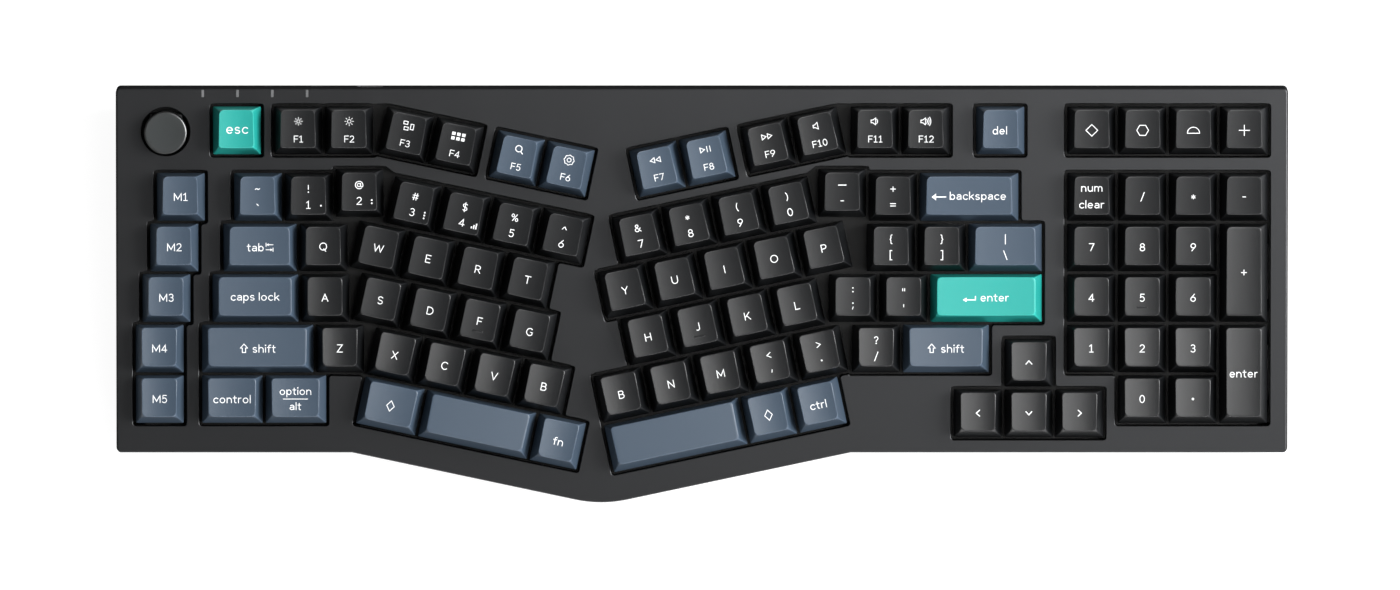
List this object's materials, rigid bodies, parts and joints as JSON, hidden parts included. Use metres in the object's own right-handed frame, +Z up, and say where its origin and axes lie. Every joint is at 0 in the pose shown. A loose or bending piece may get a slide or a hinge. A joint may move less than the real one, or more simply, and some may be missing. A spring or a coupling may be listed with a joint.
{
  "type": "computer keyboard",
  "caption": "Split-angle mechanical keyboard: sloping two-shell metal case, pressable sculpted keycaps, pivoting stabiliser wires, a push-and-turn knob and two slide switches at the back.",
  "frame": {"origin": "on the desk under the middle of the box round the keyboard", "axes": "+X to the right of someone typing, +Y to the back edge, +Z up; the top slopes up to the back by 5.2 degrees"},
  "size_m": [0.44, 0.1567, 0.0457],
  "materials": {
    "case_metal": "anodised dark grey, matte",
    "knob_metal": "anodised dark grey, fine knurl",
    "plate_metal": "anodised black",
    "black_plastic": "fine matte",
    "blue_grey_plastic": "fine matte",
    "teal_plastic": "fine matte",
    "housing_plastic": "moulded",
    "gasket_foam": "closed-cell foam",
    "board": "solder mask",
    "battery_wrap": "foil wrap",
    "wire_steel": "drawn",
    "screw_steel": "blackened",
    "light_guide": "frosted clear",
    "foot_rubber": "matte"
  },
  "bodies": {
    "case": {"top_case": "case_metal", "bottom_case": "case_metal", "switch_plate": "plate_metal", "plate_gaskets": "gasket_foam", "circuit_board": "board", "case_foam": "gasket_foam", "board_standoffs": "wire_steel", "switch_housings": "housing_plastic", "stabiliser_housings": "housing_plastic", "encoder_body": "wire_steel", "usb_port": "wire_steel", "port_board": "board", "battery_pack": "battery_wrap", "indicator_lights": "light_guide", "rubber_feet": "foot_rubber", "case_screws": "screw_steel"},
    "key_esc_cap": {"key_esc": "teal_plastic"},
    "keys_f1_f6_caps": {"keys_f1_f6": "black_plastic"},
    "keys_f7_f12_caps": {"keys_f7_f12": "black_plastic"},
    "key_delete_cap": {"key_delete": "blue_grey_plastic"},
    "keys_programmable_caps": {"keys_programmable": "black_plastic"},
    "keys_macro_caps": {"keys_macro": "blue_grey_plastic"},
    "keys_grave_to_6_caps": {"keys_grave_to_6": "black_plastic"},
    "keys_7_to_equals_caps": {"keys_7_to_equals": "black_plastic"},
    "key_backspace_cap": {"key_backspace": "blue_grey_plastic"},
    "key_tab_cap": {"key_tab": "blue_grey_plastic"},
    "keys_q_to_t_caps": {"keys_q_to_t": "black_plastic"},
    "keys_y_to_bracket_caps": {"keys_y_to_bracket": "black_plastic"},
    "key_backslash_cap": {"key_backslash": "blue_grey_plastic"},
    "key_caps_lock_cap": {"key_caps_lock": "blue_grey_plastic"},
    "keys_a_to_g_caps": {"keys_a_to_g": "black_plastic"},
    "keys_h_to_quote_caps": {"keys_h_to_quote": "black_plastic"},
    "key_enter_cap": {"key_enter": "teal_plastic"},
    "key_left_shift_cap": {"key_left_shift": "blue_grey_plastic"},
    "keys_z_to_b_caps": {"keys_z_to_b": "black_plastic"},
    "keys_b_to_slash_caps": {"keys_b_to_slash": "black_plastic"},
    "key_right_shift_cap": {"key_right_shift": "blue_grey_plastic"},
    "keys_left_modifiers_caps": {"keys_left_modifiers": "blue_grey_plastic"},
    "key_space_left_cap": {"key_space_left": "blue_grey_plastic"},
    "key_space_right_cap": {"key_space_right": "blue_grey_plastic"},
    "keys_right_modifiers_caps": {"keys_right_modifiers": "blue_grey_plastic"},
    "keys_arrows_caps": {"keys_arrows": "black_plastic"},
    "keys_pad_top_row_caps": {"keys_pad_top_row": "black_plastic"},
    "keys_pad_789_caps": {"keys_pad_789": "black_plastic"},
    "key_pad_plus_cap": {"key_pad_plus": "black_plastic"},
    "keys_pad_456_caps": {"keys_pad_456": "black_plastic"},
    "keys_pad_1230_caps": {"keys_pad_1230": "black_plastic"},
    "key_pad_enter_cap": {"key_pad_enter": "black_plastic"},
    "wire_left_shift": {"stabiliser_wire_left_shift": "wire_steel"},
    "wire_enter": {"stabiliser_wire_enter": "wire_steel"},
    "wire_backspace": {"stabiliser_wire_backspace": "wire_steel"},
    "wire_space_left": {"stabiliser_wire_space_left": "wire_steel"},
    "wire_space_right": {"stabiliser_wire_space_right": "wire_steel"},
    "wire_pad_plus": {"stabiliser_wire_pad_plus": "wire_steel"},
    "wire_pad_enter": {"stabiliser_wire_pad_enter": "wire_steel"},
    "plunger": {"encoder_plunger": "housing_plastic"},
    "knob": {"encoder_shaft": "wire_steel", "volume_knob": "knob_metal"},
    "mode_lever": {"mode_switch_lever": "housing_plastic"},
    "system_lever": {"system_switch_lever": "housing_plastic"}
  },
  "joints": [
    {"name": "press_key_esc", "type": "slide", "parent": "case", "child": "key_esc_cap", "axis": [0, 0.0906, -0.9959], "range_m": [0, 0.004], "stiffness_N_per_m": 65, "springref_m": -0.0054},
    {"name": "press_keys_f1_f6", "type": "slide", "parent": "case", "child": "keys_f1_f6_caps", "axis": [0, 0.0906, -0.9959], "range_m": [0, 0.004], "stiffness_N_per_m": 390, "springref_m": -0.0054},
    {"name": "press_keys_f7_f12", "type": "slide", "parent": "case", "child": "keys_f7_f12_caps", "axis": [0, 0.0906, -0.9959], "range_m": [0, 0.004], "stiffness_N_per_m": 390, "springref_m": -0.0054},
    {"name": "press_key_delete", "type": "slide", "parent": "case", "child": "key_delete_cap", "axis": [0, 0.0906, -0.9959], "range_m": [0, 0.004], "stiffness_N_per_m": 65, "springref_m": -0.0054},
    {"name": "press_keys_programmable", "type": "slide", "parent": "case", "child": "keys_programmable_caps", "axis": [0, 0.0906, -0.9959], "range_m": [0, 0.004], "stiffness_N_per_m": 260, "springref_m": -0.0054},
    {"name": "press_keys_macro", "type": "slide", "parent": "case", "child": "keys_macro_caps", "axis": [0, 0.0906, -0.9959], "range_m": [0, 0.004], "stiffness_N_per_m": 325, "springref_m": -0.0054},
    {"name": "press_keys_grave_to_6", "type": "slide", "parent": "case", "child": "keys_grave_to_6_caps", "axis": [0, 0.0906, -0.9959], "range_m": [0, 0.004], "stiffness_N_per_m": 455, "springref_m": -0.0054},
    {"name": "press_keys_7_to_equals", "type": "slide", "parent": "case", "child": "keys_7_to_equals_caps", "axis": [0, 0.0906, -0.9959], "range_m": [0, 0.004], "stiffness_N_per_m": 390, "springref_m": -0.0054},
    {"name": "press_key_backspace", "type": "slide", "parent": "case", "child": "key_backspace_cap", "axis": [0, 0.0906, -0.9959], "range_m": [0, 0.004], "stiffness_N_per_m": 65, "springref_m": -0.0054},
    {"name": "press_key_tab", "type": "slide", "parent": "case", "child": "key_tab_cap", "axis": [0, 0.0906, -0.9959], "range_m": [0, 0.004], "stiffness_N_per_m": 65, "springref_m": -0.0054},
    {"name": "press_keys_q_to_t", "type": "slide", "parent": "case", "child": "keys_q_to_t_caps", "axis": [0, 0.0906, -0.9959], "range_m": [0, 0.004], "stiffness_N_per_m": 325, "springref_m": -0.0054},
    {"name": "press_keys_y_to_bracket", "type": "slide", "parent": "case", "child": "keys_y_to_bracket_caps", "axis": [0, 0.0906, -0.9959], "range_m": [0, 0.004], "stiffness_N_per_m": 455, "springref_m": -0.0054},
    {"name": "press_key_backslash", "type": "slide", "parent": "case", "child": "key_backslash_cap", "axis": [0, 0.0906, -0.9959], "range_m": [0, 0.004], "stiffness_N_per_m": 65, "springref_m": -0.0054},
    {"name": "press_key_caps_lock", "type": "slide", "parent": "case", "child": "key_caps_lock_cap", "axis": [0, 0.0906, -0.9959], "range_m": [0, 0.004], "stiffness_N_per_m": 65, "springref_m": -0.0054},
    {"name": "press_keys_a_to_g", "type": "slide", "parent": "case", "child": "keys_a_to_g_caps", "axis": [0, 0.0906, -0.9959], "range_m": [0, 0.004], "stiffness_N_per_m": 325, "springref_m": -0.0054},
    {"name": "press_keys_h_to_quote", "type": "slide", "parent": "case", "child": "keys_h_to_quote_caps", "axis": [0, 0.0906, -0.9959], "range_m": [0, 0.004], "stiffness_N_per_m": 390, "springref_m": -0.0054},
    {"name": "press_key_enter", "type": "slide", "parent": "case", "child": "key_enter_cap", "axis": [0, 0.0906, -0.9959], "range_m": [0, 0.004], "stiffness_N_per_m": 65, "springref_m": -0.0054},
    {"name": "press_key_left_shift", "type": "slide", "parent": "case", "child": "key_left_shift_cap", "axis": [0, 0.0906, -0.9959], "range_m": [0, 0.004], "stiffness_N_per_m": 65, "springref_m": -0.0054},
    {"name": "press_keys_z_to_b", "type": "slide", "parent": "case", "child": "keys_z_to_b_caps", "axis": [0, 0.0906, -0.9959], "range_m": [0, 0.004], "stiffness_N_per_m": 325, "springref_m": -0.0054},
    {"name": "press_keys_b_to_slash", "type": "slide", "parent": "case", "child": "keys_b_to_slash_caps", "axis": [0, 0.0906, -0.9959], "range_m": [0, 0.004], "stiffness_N_per_m": 390, "springref_m": -0.0054},
    {"name": "press_key_right_shift", "type": "slide", "parent": "case", "child": "key_right_shift_cap", "axis": [0, 0.0906, -0.9959], "range_m": [0, 0.004], "stiffness_N_per_m": 65, "springref_m": -0.0054},
    {"name": "press_keys_left_modifiers", "type": "slide", "parent": "case", "child": "keys_left_modifiers_caps", "axis": [0, 0.0906, -0.9959], "range_m": [0, 0.004], "stiffness_N_per_m": 260, "springref_m": -0.0054},
    {"name": "press_key_space_left", "type": "slide", "parent": "case", "child": "key_space_left_cap", "axis": [0, 0.0906, -0.9959], "range_m": [0, 0.004], "stiffness_N_per_m": 65, "springref_m": -0.0054},
    {"name": "press_key_space_right", "type": "slide", "parent": "case", "child": "key_space_right_cap", "axis": [0, 0.0906, -0.9959], "range_m": [0, 0.004], "stiffness_N_per_m": 65, "springref_m": -0.0054},
    {"name": "press_keys_right_modifiers", "type": "slide", "parent": "case", "child": "keys_right_modifiers_caps", "axis": [0, 0.0906, -0.9959], "range_m": [0, 0.004], "stiffness_N_per_m": 130, "springref_m": -0.0054},
    {"name": "press_keys_arrows", "type": "slide", "parent": "case", "child": "keys_arrows_caps", "axis": [0, 0.0906, -0.9959], "range_m": [0, 0.004], "stiffness_N_per_m": 260, "springref_m": -0.0054},
    {"name": "press_keys_pad_top_row", "type": "slide", "parent": "case", "child": "keys_pad_top_row_caps", "axis": [0, 0.0906, -0.9959], "range_m": [0, 0.004], "stiffness_N_per_m": 260, "springref_m": -0.0054},
    {"name": "press_keys_pad_789", "type": "slide", "parent": "case", "child": "keys_pad_789_caps", "axis": [0, 0.0906, -0.9959], "range_m": [0, 0.004], "stiffness_N_per_m": 195, "springref_m": -0.0054},
    {"name": "press_key_pad_plus", "type": "slide", "parent": "case", "child": "key_pad_plus_cap", "axis": [0, 0.0906, -0.9959], "range_m": [0, 0.004], "stiffness_N_per_m": 65, "springref_m": -0.0054},
    {"name": "press_keys_pad_456", "type": "slide", "parent": "case", "child": "keys_pad_456_caps", "axis": [0, 0.0906, -0.9959], "range_m": [0, 0.004], "stiffness_N_per_m": 195, "springref_m": -0.0054},
    {"name": "press_keys_pad_1230", "type": "slide", "parent": "case", "child": "keys_pad_1230_caps", "axis": [0, 0.0906, -0.9959], "range_m": [0, 0.004], "stiffness_N_per_m": 325, "springref_m": -0.0054},
    {"name": "press_key_pad_enter", "type": "slide", "parent": "case", "child": "key_pad_enter_cap", "axis": [0, 0.0906, -0.9959], "range_m": [0, 0.004], "stiffness_N_per_m": 65, "springref_m": -0.0054},
    {"name": "swing_left_shift", "type": "hinge", "parent": "case", "child": "wire_left_shift", "pos_m": [-0.1668, -0.02864, 0.02009], "axis": [1, 0, 0], "range_deg": [-27.9, 1]},
    {"name": "swing_enter", "type": "hinge", "parent": "case", "child": "wire_enter", "pos_m": [0.10662, -0.00967, 0.02182], "axis": [1, 0, 0], "range_deg": [-27.9, 1]},
    {"name": "swing_backspace", "type": "hinge", "parent": "case", "child": "wire_backspace", "pos_m": [0.1002, 0.02828, 0.02527], "axis": [1, 0, 0], "range_deg": [-27.9, 1]},
    {"name": "swing_space_left", "type": "hinge", "parent": "case", "child": "wire_space_left", "pos_m": [-0.08623, -0.05692, 0.01752], "axis": [0.9781, -0.2071, -0.0188], "range_deg": [-27.9, 1]},
    {"name": "swing_space_right", "type": "hinge", "parent": "case", "child": "wire_space_right", "pos_m": [-0.00799, -0.06087, 0.01716], "axis": [0.9781, 0.2071, 0.0188], "range_deg": [-27.9, 1]},
    {"name": "swing_pad_plus", "type": "hinge", "parent": "case", "child": "wire_pad_plus", "pos_m": [0.21186, 0.00838, 0.02346], "axis": [0, 0.9959, 0.0906], "range_deg": [-27.9, 1]},
    {"name": "swing_pad_enter", "type": "hinge", "parent": "case", "child": "wire_pad_enter", "pos_m": [0.21186, -0.02956, 0.02001], "axis": [0, 0.9959, 0.0906], "range_deg": [-27.9, 1]},
    {"name": "push_knob", "type": "slide", "parent": "case", "child": "plunger", "axis": [0, 0.0906, -0.9959], "range_m": [0, 0.0005], "stiffness_N_per_m": 4000, "springref_m": -0.0006},
    {"name": "turn_knob", "type": "hinge", "parent": "plunger", "child": "knob", "pos_m": [-0.20119, 0.06082, 0.03436], "axis": [0, -0.0906, 0.9959], "continuous": true},
    {"name": "slide_mode_switch", "type": "slide", "parent": "case", "child": "mode_lever", "axis": [1, 0, 0], "range_m": [-0.002, 0.002]},
    {"name": "slide_system_switch", "type": "slide", "parent": "case", "child": "system_lever", "axis": [1, 0, 0], "range_m": [-0.001, 0.001]}
  ],
  "couplings": [
    {"joint": "swing_left_shift", "follows": "press_key_left_shift", "rad_per_m": -117.35},
    {"joint": "swing_enter", "follows": "press_key_enter", "rad_per_m": -117.35},
    {"joint": "swing_backspace", "follows": "press_key_backspace", "rad_per_m": -117.35},
    {"joint": "swing_space_left", "follows": "press_key_space_left", "rad_per_m": -117.35},
    {"joint": "swing_space_right", "follows": "press_key_space_right", "rad_per_m": -117.35},
    {"joint": "swing_pad_plus", "follows": "press_key_pad_plus", "rad_per_m": -117.35},
    {"joint": "swing_pad_enter", "follows": "press_key_pad_enter", "rad_per_m": -117.35}
  ]
}
